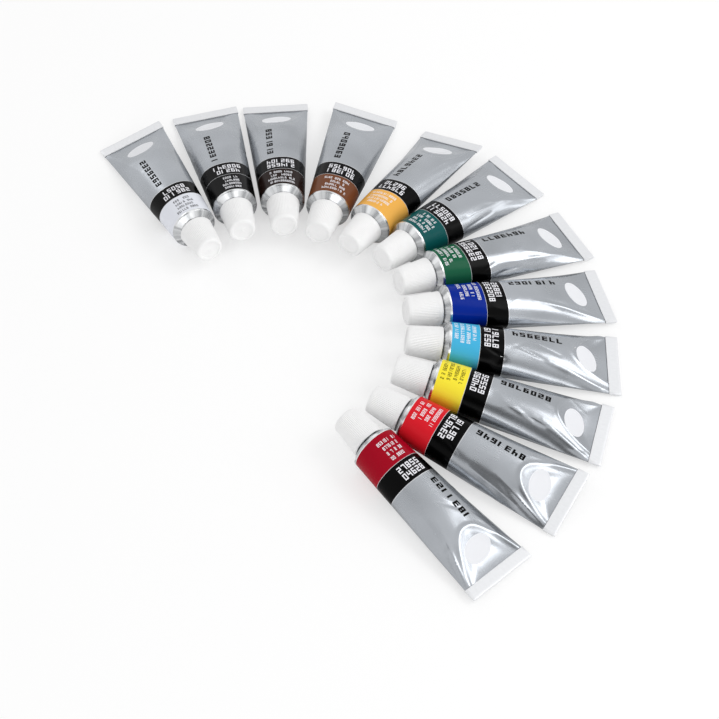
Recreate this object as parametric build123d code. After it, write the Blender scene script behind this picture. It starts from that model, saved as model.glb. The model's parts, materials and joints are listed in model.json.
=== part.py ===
from build123d import *
from collections import namedtuple
from math import asin, atan, cos, degrees, hypot, pi, radians, sin, tan
import os

os.makedirs("parts", exist_ok=True)

# A set of gouache tubes laid out as a fan on a table. Sizes in millimetres, angles in degrees.
# Each tube is modelled once in its own frame: its axis is X, the rim where the shoulder meets the
# foil is at X = 0, the tail runs to +X, the cap to -X, and the flattened tail lies level in Z = 0.

# Shoulder and neck, the stiff end of the tube
rim_radius = 9.5
rim_band = 0.6
shoulder_slope = 30.0
neck_radius = 4.1
neck_length = 6.4
nozzle_radius = 2.3

# Foil body, round at the rim and pressed flat at the tail. The paint fills it out up to the
# shoulder of the pillow, where its top starts to fall steeply to the crimp.
foil = 0.2
body_length = 65.5
tail_radius = 0.6
pillow_end = 50.0
pillow_height = 4.0

# Crimp, the tail's end folded under itself
crimp_depth = 4.9
fold_layers = 3
fold_step = 0.6

# Paint
paint_gap = 0.1
paint_short_of_tail = 8.0
paint_short_of_lip = 0.4

# Screw cap
thread_height = 0.6
thread_clearance = 0.2
thread_pitch = 2.0
cap_turns = 4
cap_base_radius = 7.2
cap_end_radius = 5.7
cap_length = 14.2
cap_gap = 0.6
rib_depth = 0.3
mouth_gap = 0.45
end_recess_radius = 4.4
end_recess_depth = 0.7

# Sealing disc inside the cap
liner_thickness = 0.8
liner_clearance = 0.1

# Sides of the polygons that stand for round outlines, a multiple of 4 so that a side lies level
tube_sides = 24
cap_sides = 20

# Fan layout: each tube lies beside the one before it, clockwise seen from above.
# shoulder_gap and tail_gap part it from that tube at the rims and at the crimps, slide is how far
# it is pushed out along its axis, and roll lifts its left crimp corner off the table.
first_heading = 119.3
lifted_cap_gap = 0.4
Tube = namedtuple("Tube", "name shoulder_gap tail_gap slide roll")
tubes = [
    Tube("white", 0.0, 0.0, 0.0, -10.5),
    Tube("black", 1.1, 5.8, 5.2, -2.5),
    Tube("burnt_umber", 1.6, 2.1, 0.2, -1.0),
    Tube("burnt_sienna", 0.7, 11.0, -2.4, 9.0),
    Tube("yellow_ochre", 0.9, 11.9, -0.8, -11.5),
    Tube("viridian", 0.5, 4.5, 2.2, 5.0),
    Tube("sap_green", 0.6, 10.3, -1.9, -1.0),
    Tube("ultramarine", 0.5, 5.3, -2.5, -1.5),
    Tube("sky_blue", 0.5, 6.3, -1.4, 0.0),
    Tube("lemon_yellow", 0.4, 5.3, -2.4, -1.0),
    Tube("vermilion", 1.3, 6.1, -2.5, 7.0),
    Tube("crimson", 0.6, 10.5, -1.7, -2.5),
]

# Sizes that follow
slope = tan(radians(shoulder_slope))
neck_base = -rim_band - (rim_radius - neck_radius) * slope
lip = neck_base - neck_length
throat = -(rim_radius - foil - nozzle_radius) * slope
fold_thickness = 2 * tail_radius
layer = fold_thickness / fold_layers
crimp_width = pi * rim_radius
crimp_edge = body_length + crimp_depth - fold_step
cap_base = -rim_band - (rim_radius - cap_base_radius) * slope - cap_gap
cap_end = cap_base - cap_length
mouth_radius = rim_radius + (cap_base + rim_band) / slope + mouth_gap
bore_radius = neck_radius + thread_height + thread_clearance
mouth_depth = (mouth_radius - bore_radius) * slope
bore_end = lip - liner_thickness
liner_radius = bore_radius * cos(pi / cap_sides) - liner_clearance
cap_travel = thread_pitch * cap_turns


def ring(x, radius, sides, flat_run=0.0, height=None):
    """Corners of an outline across the axis at x, each side at its own steady angle.

    It is a polygon whose two halves are drawn apart by flat_run. If a height is given, its upper
    half is swollen to it as part of an oval as wide as the rest. The corners are where the lines of
    neighbouring sides meet, so sides of two outlines with as many corners are parallel.
    """
    step = 2 * pi / sides
    reach = radius * cos(step / 2)
    swell = (height or radius) * cos(step / 2) - reach
    away = []
    for i in range(sides):
        rise = swell if sin(i * step) > 0 else 0.0
        away.append(reach + hypot(flat_run * cos(i * step), rise * sin(i * step)))
    corners = []
    for i in range(sides):
        j = (i + 1) % sides
        near = i * step
        y = (away[i] * sin(near + step) - away[j] * sin(near)) / sin(step)
        z = (away[j] * cos(near) - away[i] * cos(near + step)) / sin(step)
        corners.append((x, y, z))
    return corners


def skin(rings):
    """Solid of flat facets through rings that have as many corners and parallel sides."""
    faces = [Face(Wire.make_polygon(end, close=True)) for end in (rings[0], rings[-1])]
    count = len(rings[0])
    for near, far in zip(rings, rings[1:]):
        for i in range(count):
            j = (i + 1) % count
            quad = [near[i], near[j], far[j], far[i]]
            faces.append(Face(Wire.make_polygon(quad, close=True)))
    return Solid(Shell(faces))


def foil_ring(x, inset):
    """Outline across the foil at x, this far inside its outer face.

    The lower corners' radius shrinks evenly from rim to tail, and the flat runs grow so that the
    foil's girth stays the same, as it does when the end of a round tube is pressed flat. The top
    falls evenly to the pillow's end and from there to the tail.
    """
    corner = rim_radius + (tail_radius - rim_radius) * x / body_length
    flat_run = pi * (rim_radius - corner) / 2
    if x < pillow_end:
        height = rim_radius + (pillow_height - rim_radius) * x / pillow_end
    else:
        past = (x - pillow_end) / (body_length - pillow_end)
        height = pillow_height + (tail_radius - pillow_height) * past
    return ring(x, corner - inset, tube_sides, flat_run, height - inset)


def crimp():
    """The tail's end folded over and under, its free edge a step short of the rounded fold."""
    low = -fold_thickness / 2
    high = fold_thickness / 2
    fold = body_length + crimp_depth - layer
    profile = [
        Polyline(
            (fold, high - 2 * layer),
            (crimp_edge, high - 2 * layer),
            (crimp_edge, low),
            (body_length, low),
            (body_length, high),
            (fold, high),
        ),
        RadiusArc((fold, high), (fold, high - 2 * layer), layer),
    ]
    face = Plane.XZ * make_face(profile)
    return extrude(face, crimp_width / 2, both=True)


def tube_shell():
    """Aluminium tube in one piece: neck, conical shoulder, rim, foil body and crimp."""
    outside = skin(
        [
            ring(lip, neck_radius, tube_sides),
            ring(neck_base, neck_radius, tube_sides),
            ring(-rim_band, rim_radius, tube_sides),
            foil_ring(0, 0),
            foil_ring(pillow_end, 0),
            foil_ring(body_length, 0),
        ]
    )
    inside = skin(
        [
            ring(lip, nozzle_radius, tube_sides),
            ring(throat, nozzle_radius, tube_sides),
            foil_ring(0, foil),
            foil_ring(pillow_end, foil),
            foil_ring(body_length, foil),
        ]
    )
    return outside + crimp() - inside


def paint():
    """Paint that fills the tube from just below the nozzle's lip almost to the crimp."""
    nozzle = nozzle_radius - paint_gap
    inset = foil + paint_gap
    return skin(
        [
            ring(lip + paint_short_of_lip, nozzle, tube_sides),
            ring(throat + paint_gap, nozzle, tube_sides),
            foil_ring(paint_gap, inset),
            foil_ring(pillow_end, inset),
            foil_ring(body_length - paint_short_of_tail, inset),
        ]
    )


def ribbed_ring(x, crest):
    """Star outline of the cap at x, a rib to every second corner."""
    groove = crest * (1 - rib_depth / cap_base_radius)
    step = pi / cap_sides
    corners = []
    for i in range(2 * cap_sides):
        radius = groove if i % 2 else crest
        corners.append((x, radius * cos(i * step), radius * sin(i * step)))
    return corners


def cap():
    """Ribbed screw cap: a mouth over the shoulder, a bore over the neck and a sunk end face."""
    body = skin([ribbed_ring(cap_base, cap_base_radius), ribbed_ring(cap_end, cap_end_radius)])
    inside = skin(
        [
            ring(cap_base, mouth_radius, cap_sides),
            ring(cap_base - mouth_depth, bore_radius, cap_sides),
            ring(bore_end, bore_radius, cap_sides),
        ]
    )
    recess = skin(
        [
            ring(cap_end + end_recess_depth, end_recess_radius, cap_sides),
            ring(cap_end, end_recess_radius, cap_sides),
        ]
    )
    return body - inside - recess


def liner():
    """Disc in the bottom of the cap that seals the nozzle's lip."""
    return skin([ring(lip, liner_radius, cap_sides), ring(bore_end, liner_radius, cap_sides)])


def tilt(roll):
    """How far a tube's axis tips down towards its tail when it lies on its rim and its crimp."""
    edge = crimp_width / 2 * sin(radians(abs(roll))) + tail_radius * cos(radians(roll))
    return degrees(atan((rim_radius - edge) / crimp_edge))


def beside(tube):
    """Half the angle that this tube turns from the one before, and the distance between their rims.

    The crimps and the shoulders keep their gaps, and so do the two caps when both are unscrewed.
    """
    room = crimp_width + tube.tail_gap
    shoulders = (room - 2 * rim_radius - tube.shoulder_gap) / (2 * body_length)
    caps_reach = body_length - cap_end + cap_travel
    caps = (room - 2 * cap_end_radius - lifted_cap_gap) / (2 * caps_reach)
    half_turn = asin(min(shoulders, caps))
    return half_turn, room - 2 * body_length * sin(half_turn)


def fan():
    """Location of each tube's frame, in order round the fan."""
    x, y, heading = 0.0, 0.0, radians(first_heading)
    places = []
    for i, tube in enumerate(tubes):
        if i:
            half_turn, apart = beside(tube)
            heading -= half_turn
            x += tube.slide * cos(heading) + apart * sin(heading)
            y += tube.slide * sin(heading) - apart * cos(heading)
            heading -= half_turn
        tip = tilt(tube.roll)
        height = rim_radius * cos(radians(tip))
        turn = Rot(0, 0, degrees(heading)) * Rot(0, tip, 0) * Rot(tube.roll, 0, 0)
        places.append(Pos(x, y, height) * turn)
    return places


def centred(places, shapes):
    """The places moved so that the box round these shapes at all of them is centred on the origin."""
    boxes = [(place * shape).bounding_box() for place in places for shape in shapes]
    low_x = min(box.min.X for box in boxes)
    high_x = max(box.max.X for box in boxes)
    low_y = min(box.min.Y for box in boxes)
    high_y = max(box.max.Y for box in boxes)
    shift = Pos(-(low_x + high_x) / 2, -(low_y + high_y) / 2, 0)
    return [shift * place for place in places]


pieces = {
    "tube": tube_shell(),
    "paint": paint(),
    "cap": cap(),
    "cap_liner": liner(),
}
for tube, place in zip(tubes, centred(fan(), [pieces["tube"], pieces["cap"]])):
    for part_name, piece in pieces.items():
        export_step(place * piece, f"parts/{tube.name}_{part_name}.step")
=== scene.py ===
import json
from collections import namedtuple
from functools import partial
from math import cos, pi, radians, sin, tan

import bmesh
import bpy
import numpy as np
from mathutils import Matrix, Vector


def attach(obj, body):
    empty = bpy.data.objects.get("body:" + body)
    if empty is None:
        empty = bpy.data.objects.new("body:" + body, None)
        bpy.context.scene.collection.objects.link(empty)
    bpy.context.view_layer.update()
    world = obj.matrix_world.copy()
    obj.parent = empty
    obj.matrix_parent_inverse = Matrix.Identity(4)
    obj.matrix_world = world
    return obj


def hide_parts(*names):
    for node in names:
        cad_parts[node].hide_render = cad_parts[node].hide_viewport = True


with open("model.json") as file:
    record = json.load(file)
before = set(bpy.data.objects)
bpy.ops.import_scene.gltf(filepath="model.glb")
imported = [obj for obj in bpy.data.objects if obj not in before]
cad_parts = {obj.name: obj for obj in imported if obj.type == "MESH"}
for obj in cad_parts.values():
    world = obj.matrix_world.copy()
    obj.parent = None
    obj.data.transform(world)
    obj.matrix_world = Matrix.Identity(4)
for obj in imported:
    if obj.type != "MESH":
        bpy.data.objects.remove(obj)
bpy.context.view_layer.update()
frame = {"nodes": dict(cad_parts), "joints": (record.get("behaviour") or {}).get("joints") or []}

bl_info = {
    "name": "Gouache tubes",
    "version": (1, 0, 0),
    "blender": (4, 5, 0),
    "location": "3D View > Sidebar > Gouache tubes",
    "description": "Twelve gouache tubes in a fan: printed foil, paint, screw caps and liners",
    "category": "Add Mesh",
}

MM = 0.001
CRIMP_IN_FRAME = 4.9 * MM  # depth of the crimp on the frame's tubes

# Every tube is built in its own frame, in metres: its axis is X, the rim where the shoulder meets
# the foil is at X = 0, the tail runs to +X and the cap to -X, and Z is up out of the flat tail.
# A point of the foil is given by x along the axis and s, the way round its girth from the top.

# Dents in millimetres. A Dent pushes a long or round hollow in, and a Crease folds a sharp line
# that runs from one point to another. An Arch is the crisp edge where the pillow ends, highest at
# x and s and bent towards both corners of the crimp, with a pressed panel past it. A depth below
# zero pushes outwards.
Dent = namedtuple("Dent", "x s length width turn depth")
Crease = namedtuple("Crease", "x1 s1 x2 s2 width depth")
Arch = namedtuple("Arch", "x s bend depth")

TAIL_CREASES = [
    Crease(65.0, 13.6, 40.0, 6.0, 2.2, -0.22),
    Crease(65.0, -13.6, 40.0, -6.0, 2.2, -0.22),
]

DENTS = {
    "white": [Arch(51.5, 0.0, 0.09, 0.35)],
    "black": [Arch(51.5, 1.0, 0.09, 0.4), Crease(44.0, -9.0, 60.0, -11.0, 1.4, 0.25)],
    "burnt_umber": [Arch(52.0, -1.0, 0.09, 0.35), Crease(40.0, 8.5, 58.0, 11.5, 1.4, 0.2)],
    "burnt_sienna": [Arch(51.0, 1.0, 0.09, 0.45), Dent(48.0, -3.0, 9.0, 3.0, 15.0, 0.2)],
    "yellow_ochre": [Arch(51.0, 0.5, 0.09, 0.5), Crease(30.0, -6.0, 52.0, -9.5, 1.8, -0.2)],
    "viridian": [
        Arch(51.5, -1.0, 0.09, 0.45),
        Crease(28.0, -8.0, 60.0, -9.0, 2.4, -0.35),
        Crease(24.0, -12.0, 40.0, -11.0, 1.6, 0.3),
        Dent(14.0, -9.5, 2.2, 1.6, 20.0, 0.25),
    ],
    "sap_green": [
        Arch(51.5, 1.0, 0.09, 0.4),
        Crease(26.0, -9.0, 62.0, -10.5, 2.4, -0.3),
        Dent(29.0, -12.5, 4.5, 2.4, 30.0, 0.5),
        Crease(17.0, -11.0, 25.0, -8.0, 1.2, 0.3),
        Crease(24.0, -13.5, 36.0, -12.0, 1.4, 0.3),
    ],
    "ultramarine": [Arch(52.0, 1.5, 0.09, 0.35), Crease(36.0, -5.0, 64.0, -12.5, 2.0, -0.3)],
    "sky_blue": [
        Arch(50.0, 3.0, 0.1, 0.95),
        Crease(22.0, -8.0, 15.0, -5.0, 1.5, 0.4),
        Dent(20.0, -9.0, 3.2, 2.0, 50.0, 0.45),
        Crease(27.0, -2.0, 38.0, -6.0, 1.6, 0.3),
        Crease(34.0, 1.0, 45.0, -3.0, 1.5, 0.25),
        Crease(40.0, -7.0, 62.0, -13.0, 1.8, -0.3),
        Crease(57.0, 11.0, 50.0, 2.0, 1.5, 0.3),
    ],
    "lemon_yellow": [
        Arch(49.0, 3.0, 0.1, 1.0),
        Crease(27.0, -4.0, 40.0, -7.5, 1.6, -0.35),
        Crease(36.0, -6.5, 46.0, -8.0, 1.4, 0.3),
        Crease(44.0, -6.0, 63.0, -12.5, 1.8, -0.35),
        Dent(23.0, -3.0, 2.5, 2.0, 0.0, 0.2),
    ],
    "vermilion": [
        Arch(48.3, 0.6, 0.115, 0.9),
        Crease(55.0, 9.5, 64.5, 13.0, 2.0, -0.4),
        Crease(50.0, -9.0, 64.5, -13.0, 2.0, -0.45),
        Crease(30.0, -9.0, 52.0, -12.5, 1.8, -0.25),
        Crease(18.0, -4.0, 24.0, -7.0, 1.2, 0.25),
    ],
    "crimson": [
        Arch(48.2, 0.6, 0.115, 0.9),
        Crease(55.0, 9.5, 64.5, 13.0, 2.0, -0.4),
        Crease(52.0, -9.5, 64.5, -13.0, 2.0, -0.45),
        Dent(38.0, 2.5, 7.0, 1.0, 38.0, 0.18),
        Dent(26.0, -8.0, 6.0, 3.5, 0.0, 0.3),
    ],
}
NAMES = list(DENTS)
DARK_INK = ("white", "lemon_yellow")  # tubes with dark marks on their colour band

# Where the black band starts and ends on each tube, in millimetres from the rim, and how far the
# whole print is turned round the foil
Print = namedtuple("Print", "black silver turn")
PRINTS = {
    "white": Print(12.5, 21.5, -1.4),
    "black": Print(12.5, 21.5, -1.3),
    "burnt_umber": Print(12.5, 21.5, -0.6),
    "burnt_sienna": Print(13.0, 22.0, -0.6),
    "yellow_ochre": Print(14.0, 23.0, -1.4),
    "viridian": Print(13.0, 22.0, -0.2),
    "sap_green": Print(12.5, 21.4, 0.3),
    "ultramarine": Print(15.0, 24.0, 0.9),
    "sky_blue": Print(12.0, 21.7, 0.3),
    "lemon_yellow": Print(12.2, 21.2, 0.3),
    "vermilion": Print(12.6, 22.6, 1.0),
    "crimson": Print(13.4, 22.1, 0.6),
}


def distance(name, description, millimetres):
    """A length that the user can change."""
    return bpy.props.FloatProperty(
        name=name, description=description, default=millimetres * MM, unit="LENGTH", precision=5
    )


def colour(name, description, red, green, blue):
    """A colour that the user can change, given as it looks on a screen, from 0 to 1."""
    linear = [((c + 0.055) / 1.055) ** 2.4 if c > 0.04 else c / 12.92 for c in (red, green, blue)]
    return bpy.props.FloatVectorProperty(
        name=name, description=description, default=linear, subtype="COLOR", size=3, min=0, max=1
    )


def band(tube_name, red, green, blue):
    """Colour of one tube's band and paint."""
    return colour(tube_name, f"Colour band and paint of the {tube_name.lower()} tube", red, green, blue)


def slant(name, description, degrees):
    """An angle that the user can change."""
    return bpy.props.FloatProperty(
        name=name, description=description, default=radians(degrees), subtype="ANGLE"
    )


def number(name, description, default):
    """A plain number that the user can change."""
    return bpy.props.FloatProperty(name=name, description=description, default=default)


class GOUACHE_PG_tube(bpy.types.PropertyGroup):
    """Sizes of a tube's shoulder, foil body and crimp."""

    rim_radius: distance("Rim radius", "Radius of the round end of the foil", 9.47)
    rim_band: distance("Rim band", "Bare band between the shoulder and the print", 0.6)
    neck_radius: distance("Neck radius", "Radius at the root of the thread", 4.1)
    neck_length: distance("Neck length", "From the shoulder to the nozzle's lip", 6.4)
    nozzle_radius: distance("Nozzle radius", "Radius of the hole that the paint comes out of", 2.28)
    foil: distance("Foil", "Thickness of the wall", 0.2)
    body_length: distance("Body length", "From the rim to the crimp", 65.5)
    tail_radius: distance("Tail radius", "Half the thickness where the foil enters the crimp", 0.5)
    side_fold: number("Side fold", "How sharp the folds at the sides are at the tail", 0.4)
    pillow_end: distance("Pillow end", "Where the body's top starts to fall to the crimp", 48.0)
    pinch: number("Pinch", "How much flatter the body's top is pressed at the crimp", 0.8)
    crimp_depth: distance("Crimp depth", "How far the folded end reaches past the body", 4.85)
    crimp_thickness: distance("Crimp thickness", "Thickness of the folded layers together", 1.16)
    thread_height: distance("Thread height", "How far the thread stands out of the neck", 0.52)
    thread_pitch: distance("Thread pitch", "Travel of the cap in a turn", 2.0)
    shoulder_slope: slant("Shoulder slope", "Angle of the shoulder's cone from the flat", 30)


class GOUACHE_PG_cap(bpy.types.PropertyGroup):
    """Sizes of a screw cap and its liner."""

    base_radius: distance("Base radius", "Radius at the mouth, over the ribs", 7.18)
    end_radius: distance("End radius", "Radius at the closed end, over the ribs", 5.68)
    length: distance("Length", "From the mouth to the closed end", 14.2)
    gap: distance("Gap", "From the shoulder's cone to the mouth's edge", 0.6)
    mouth_gap: distance("Mouth gap", "Clearance of the mouth's cone round the shoulder", 0.45)
    bore_radius: distance("Bore radius", "Radius at the root of the bore's thread", 4.88)
    end_rounding: distance("End rounding", "Radius of the edge round the closed end", 0.85)
    mouth_rounding: distance("Mouth rounding", "Radius of the outer edge of the mouth", 0.35)
    thread_depth: distance("Thread depth", "How far the bore's thread stands in", 0.5)
    recess_radius: distance("Recess radius", "Radius of the sunk disc in the closed end", 4.2)
    recess_depth: distance("Recess depth", "How far that disc is sunk", 0.55)
    rib_depth: distance("Rib depth", "Depth of the grooves between the fine ribs", 0.16)
    ribs: bpy.props.IntProperty(
        name="Ribs", description="How many fine ribs go round the cap", default=60, min=12, max=120
    )
    liner_thickness: distance("Liner thickness", "Thickness of the sealing disc", 0.78)
    liner_radius: distance("Liner radius", "Radius of the sealing disc", 4.7)


class GOUACHE_PG_print(bpy.types.PropertyGroup):
    """Where the inks lie on the foil, and the general inks' colours."""

    colour_start: distance("Colour band starts", "Distance from the rim", 0.35)
    line_width: distance("Line width", "Thin light lines beside the black band", 0.28)
    oval_from_crimp: distance("Oval from crimp", "Middle of the bare oval, from the crimp", 9.2)
    oval_length: distance("Oval length", "Half the oval's size along the tube", 4.3)
    oval_width: distance("Oval width", "Half the oval's size across the tube", 6.6)
    silver: colour("Silver ink", "Satin grey ink of the body", 0.66, 0.675, 0.695)
    dark: colour("Dark ink", "Black band and dark marks", 0.004, 0.004, 0.005)
    light: colour("Light ink", "Light marks and thin lines", 0.93, 0.93, 0.95)
    bare: colour("Bare oval", "Pale lacquer of the oval by the crimp", 0.91, 0.915, 0.93)


class GOUACHE_PG_colours(bpy.types.PropertyGroup):
    """Colour of each tube's band and paint."""

    white: band("White", 0.90, 0.91, 0.94)
    black: band("Black", 0.03, 0.03, 0.034)
    burnt_umber: band("Burnt umber", 0.135, 0.08, 0.065)
    burnt_sienna: band("Burnt sienna", 0.45, 0.27, 0.17)
    yellow_ochre: band("Yellow ochre", 0.94, 0.70, 0.33)
    viridian: band("Viridian", 0.05, 0.33, 0.33)
    sap_green: band("Sap green", 0.10, 0.36, 0.25)
    ultramarine: band("Ultramarine", 0.0, 0.15, 0.56)
    sky_blue: band("Sky blue", 0.28, 0.70, 0.87)
    lemon_yellow: band("Lemon yellow", 0.97, 0.90, 0.24)
    vermilion: band("Vermilion", 0.84, 0.12, 0.17)
    crimson: band("Crimson", 0.62, 0.02, 0.12)


class GOUACHE_PG_stage(bpy.types.PropertyGroup):
    """Floor, light and camera."""

    floor: colour("Floor", "Colour of the floor", 1.0, 1.0, 1.0)
    floor_glow: number("Floor glow", "Share of plain white in the floor as the camera sees it", 0.55)
    key_power: number("Key power", "Power of the soft light on the right, in watts", 4.4)
    low_power: number("Low power", "Power of the small light below it, in watts", 1.0)
    front_power: number("Front power", "Power of the low wide light in front, in watts", 2.0)
    back_power: number("Back power", "Power of the small soft light behind on the left, in watts", 1.1)
    ambient: number("Ambient", "Strength of the light from all round", 0.72)
    lens: bpy.props.FloatProperty(name="Lens", description="Focal length", default=80.4, unit="CAMERA")
    camera_distance: distance("Camera distance", "From the point it looks at", 647.5)
    pitch: slant("Pitch", "How far it looks down", 51)
    roll: slant("Roll", "Turn about its line of sight", 1.38)
    look_at: bpy.props.FloatVectorProperty(
        name="Look at", description="Point on the table that it looks at",
        default=(6.4 * MM, -19.0 * MM, 0), unit="LENGTH", subtype="XYZ",
    )


# --- places from the frame


def tube_place(name, sizes):
    """Matrix of a tube's own frame, worked out from its cap's joint and the width of its crimp."""
    turn = next(joint for joint in frame["joints"] if joint["name"] == f"{name}_cap_turn")
    along = -Vector(turn["axis"]).normalized()
    points = np.array([v.co for v in frame["nodes"][f"{name}_tube"].data.vertices])
    cap_end = np.array(turn["pos_m"])
    reach = (points - cap_end) @ np.array(along)
    end = points[reach > reach.max() - 2 * MM]
    across = np.linalg.svd(end - end.mean(0))[2][0]
    up = along.cross(Vector(across)).normalized()
    if up.z < 0:
        up = -up
    place = Matrix((along, up.cross(along), up)).transposed().to_4x4()
    rim = reach.max() - sizes.body_length - CRIMP_IN_FRAME
    place.translation = Vector(cap_end) + along * rim
    return place


# --- meshes


def loft(rings, spread):
    """Closed surface through rings of points, each end closed by one face.

    rings is an array of rings, points and coordinates, and spread holds the same rings laid out
    flat, x and s of every point, which becomes the UV map "print".
    """
    count, columns = rings.shape[:2]
    seam = 2 * spread[:, -1:] - spread[:, -2:-1]
    seam[:, 0, 0] = spread[:, -1, 0]
    flat = np.concatenate([spread, seam], 1)
    faces, uvs = [], []
    for i in range(count - 1):
        a, b = i * columns, (i + 1) * columns
        for j in range(columns):
            k = (j + 1) % columns
            faces.append((a + j, a + k, b + k, b + j))
            uvs += [flat[i, j], flat[i, j + 1], flat[i + 1, j + 1], flat[i + 1, j]]
    faces.append(tuple(reversed(range(columns))))
    uvs += [spread[0, j] for j in reversed(range(columns))]
    faces.append(tuple(range((count - 1) * columns, count * columns)))
    uvs += list(spread[-1])
    return rings.reshape(-1, 3), faces, np.array(uvs)


def new_object(name, data):
    """Object of this mesh, lamp or camera, put in the scene."""
    item = bpy.data.objects.new(name, data)
    bpy.context.scene.collection.objects.link(item)
    return item


def make_piece(name, parts, place, materials):
    """Object from lofted parts, its points set at their place, with a material to each face.

    A part comes with one material for the whole of it or with a list, one for every face.
    """
    points, faces, uvs, slots = [], [], [], []
    start = 0
    for (part_points, part_faces, part_uvs), part_slots in parts:
        points.append(part_points)
        faces += [tuple(v + start for v in face) for face in part_faces]
        uvs.append(part_uvs)
        slots += [part_slots] * len(part_faces) if isinstance(part_slots, int) else list(part_slots)
        start += len(part_points)
    placed = np.concatenate(points) @ np.array(place.to_3x3()).T + np.array(place.translation)
    mesh = bpy.data.meshes.new(name)
    mesh.from_pydata(placed.tolist(), [], faces)
    layer = mesh.uv_layers.new(name="print")
    layer.data.foreach_set("uv", np.concatenate(uvs).astype(np.float32).ravel())
    for material in materials:
        mesh.materials.append(material)
    mesh.polygons.foreach_set("material_index", slots)
    work = bmesh.new()
    work.from_mesh(mesh)
    bmesh.ops.recalc_face_normals(work, faces=work.faces)
    work.to_mesh(mesh)
    work.free()
    mesh.shade_smooth()
    mesh.set_sharp_from_angle(angle=radians(38))
    return new_object(name, mesh)


def columns_round(count, rim_radius):
    """Ways round the girth from the top, one to a column, from the seam at the bottom."""
    return (np.arange(count) / count * 2 - 1) * pi * rim_radius


def columns_to_sides(count, rim_radius):
    """The same, but closer together towards the two sides, where the foil bends most."""
    near = 1 - (1 - np.arange(1, count // 4 + 1) / (count // 4)) ** 1.5
    half = np.concatenate([near[:-1], [1], 2 - near[:-1][::-1], [2]]) / 2
    return np.concatenate([-half[::-1], [0], half[:-1]]) * pi * rim_radius


def turned(profile, s, rim_radius, ripple=0.0):
    """Rings of a turned shape. profile is a list of (x, radius); ripple adds to the radius."""
    x, radius = np.array(profile).T[:, :, None]
    angle = s / rim_radius
    far = radius + ripple + 0 * angle
    rings = np.stack([x + 0 * far, far * np.sin(angle), far * np.cos(angle)], -1)
    return rings, np.stack(np.broadcast_arrays(x, s), -1)


def thread_wave(x, angle, pitch, phase, half_base, half_crest):
    """Height from 0 to 1 of a thread's ridge at x along the axis and angle round it."""
    place = (-x / pitch - angle / (2 * pi) - phase + 0.5) % 1.0 - 0.5
    away = np.abs(place) * pitch
    return np.clip((half_base - away) / (half_base - half_crest), 0, 1)


def smooth_step(value, low, high):
    """0 below low, 1 above high and an even curve between."""
    t = np.clip((value - low) / (high - low), 0, 1)
    return t * t * (3 - 2 * t)


# --- foil

SMALL_CREASES = 16
SMALL_HOLLOWS = 14
SECTION_STEPS = 500
POWER_STEPS = 120
FOIL_COLUMNS = 160
FOIL_ROWS = 150
INSIDE_ROWS = 24
THREAD_ROWS = 54
CONE_ROWS = 26
BARE, PRINTED, CRIMPED = range(3)  # material slots of a tube

Neck = namedtuple("Neck", "slope base lip throat")


def crease_depth(crease, x, s):
    """Depth of a fold's line, sharp across and fading towards its ends, all in millimetres."""
    from_x, from_s = x - crease.x1, s - crease.s1
    run_x, run_s = crease.x2 - crease.x1, crease.s2 - crease.s1
    share = np.clip((from_x * run_x + from_s * run_s) / (run_x**2 + run_s**2), 0, 1)
    away = np.hypot(from_x - share * run_x, from_s - share * run_s)
    line = np.clip(1 - away / crease.width, 0, 1) ** 2
    return crease.depth * line * np.sin(pi * (0.08 + 0.84 * share)) ** 0.7


def arch_depth(arch, x, s):
    """Depth of the panel past an arched edge, whose crest stands out a little, in millimetres."""
    reach, slope_length, crest_width, crest_height = 16.0, 6.0, 0.9, 0.35
    aside = s - arch.s
    past = (x - arch.x - arch.bend * aside**2) / np.hypot(1, 2 * arch.bend * aside)
    panel = smooth_step(past, -0.4, slope_length)
    crest = np.exp(-(((past + 0.6) / crest_width) ** 2))
    return arch.depth * (panel - crest_height * crest) * (np.abs(aside) < reach)


def hollow_depth(dent, x, s):
    """Depth of a soft round or long hollow, in millimetres."""
    turn = radians(dent.turn)
    from_x, from_s = x - dent.x, s - dent.s
    along = (from_x * cos(turn) + from_s * sin(turn)) / dent.length
    aside = (from_s * cos(turn) - from_x * sin(turn)) / dent.width
    return dent.depth * np.exp(-(along**2) - aside**2)


DEPTHS = {Crease: crease_depth, Arch: arch_depth, Dent: hollow_depth}


def dent_depth(dents, x, s):
    """How far the foil is pushed in at each point, in metres."""
    return MM * sum(DEPTHS[type(dent)](dent, x / MM, s / MM) for dent in dents)


def small_dents(seed, sizes):
    """Slight random creases and hollows, as handling leaves on soft foil."""
    random = np.random.default_rng(seed)
    length, half_girth = sizes.body_length / MM, pi * sizes.rim_radius / MM
    dents = []
    for _ in range(SMALL_CREASES):
        x, s = random.uniform(14, length - 3), random.uniform(-half_girth, half_girth)
        run, turn = random.uniform(4, 13), random.uniform(-0.6, 0.6)
        depth = random.uniform(0.05, 0.13) * random.choice([-1, 1])
        width = random.uniform(1.2, 2.4)
        dents.append(Crease(x, s, x + run * cos(turn), s + run * sin(turn), width, depth))
    for _ in range(SMALL_HOLLOWS):
        x, s = random.uniform(8, length - 4), random.uniform(-half_girth, half_girth)
        size = random.uniform(2, 6)
        depth = random.uniform(-0.06, 0.1)
        dents.append(Dent(x, s, size * 1.6, size, random.uniform(-40, 40), depth))
    return dents


def dents_of(name, sizes, seed):
    """All dents of one tube."""
    return TAIL_CREASES + DENTS[name] + small_dents(seed, sizes)


def running_sum(values):
    """Sum along the last axis so far, by the trapezium rule, from 0."""
    middles = (values[:, 1:] + values[:, :-1]) / 2
    return np.concatenate([np.zeros((len(values), 1)), np.cumsum(middles, 1)], 1)


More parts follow.
